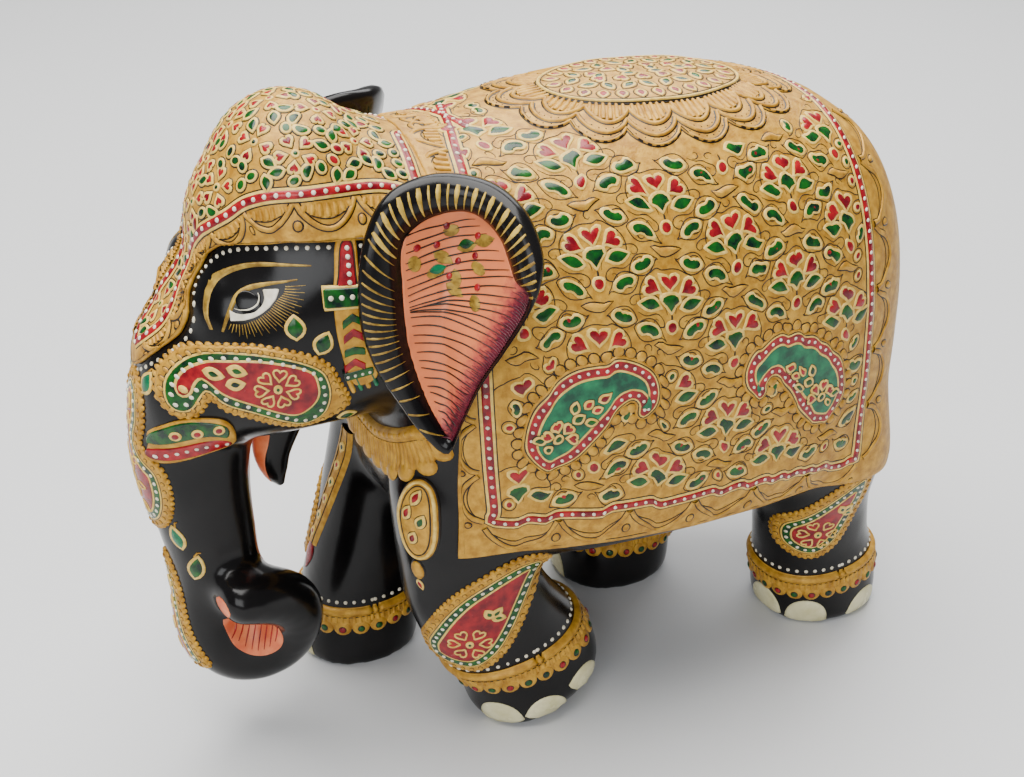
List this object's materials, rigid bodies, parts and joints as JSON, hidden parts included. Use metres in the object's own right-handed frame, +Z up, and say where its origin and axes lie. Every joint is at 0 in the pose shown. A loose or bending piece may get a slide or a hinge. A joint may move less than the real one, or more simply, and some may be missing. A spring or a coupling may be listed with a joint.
{
  "type": "carved elephant figurine",
  "caption": "Carved and lacquered wooden elephant with a curled trunk, spread ears, a gilt enamelled saddle cloth and head cloth, standing on four round feet.",
  "frame": {"origin": "on the floor under the middle of the whole figure, halfway between the trunk and the hindmost point", "axes": "+Z up, the elephant faces -Y, its left side is +X"},
  "size_m": [0.1002, 0.1932, 0.1572],
  "materials": {
    "black_lacquer": "gloss",
    "gilt_gesso": "satin",
    "red_enamel": "gloss",
    "green_enamel": "gloss",
    "salmon_paint": "satin"
  },
  "bodies": {
    "root": {"back_medallion": "red_enamel", "breast_collar": "gilt_gesso", "carved_block": "black_lacquer", "head_cloth": "gilt_gesso", "left_back_anklet": "gilt_gesso", "left_back_paisley": "red_enamel", "left_cheek_paisley": "red_enamel", "left_ear": "black_lacquer", "left_front_anklet": "gilt_gesso", "left_front_paisley": "red_enamel", "left_leg_plaque": "gilt_gesso", "left_temple_strap": "red_enamel", "left_tusk_sheath": "green_enamel", "lower_lip": "salmon_paint", "right_back_anklet": "gilt_gesso", "right_back_paisley": "red_enamel", "right_cheek_paisley": "red_enamel", "right_ear": "black_lacquer", "right_front_anklet": "gilt_gesso", "right_front_paisley": "red_enamel", "right_leg_plaque": "gilt_gesso", "right_temple_strap": "red_enamel", "right_tusk_sheath": "green_enamel", "saddle_cloth": "gilt_gesso", "tail": "black_lacquer", "trunk_lower_paisley": "red_enamel", "trunk_upper_paisley": "red_enamel"}
  },
  "joints": []
}
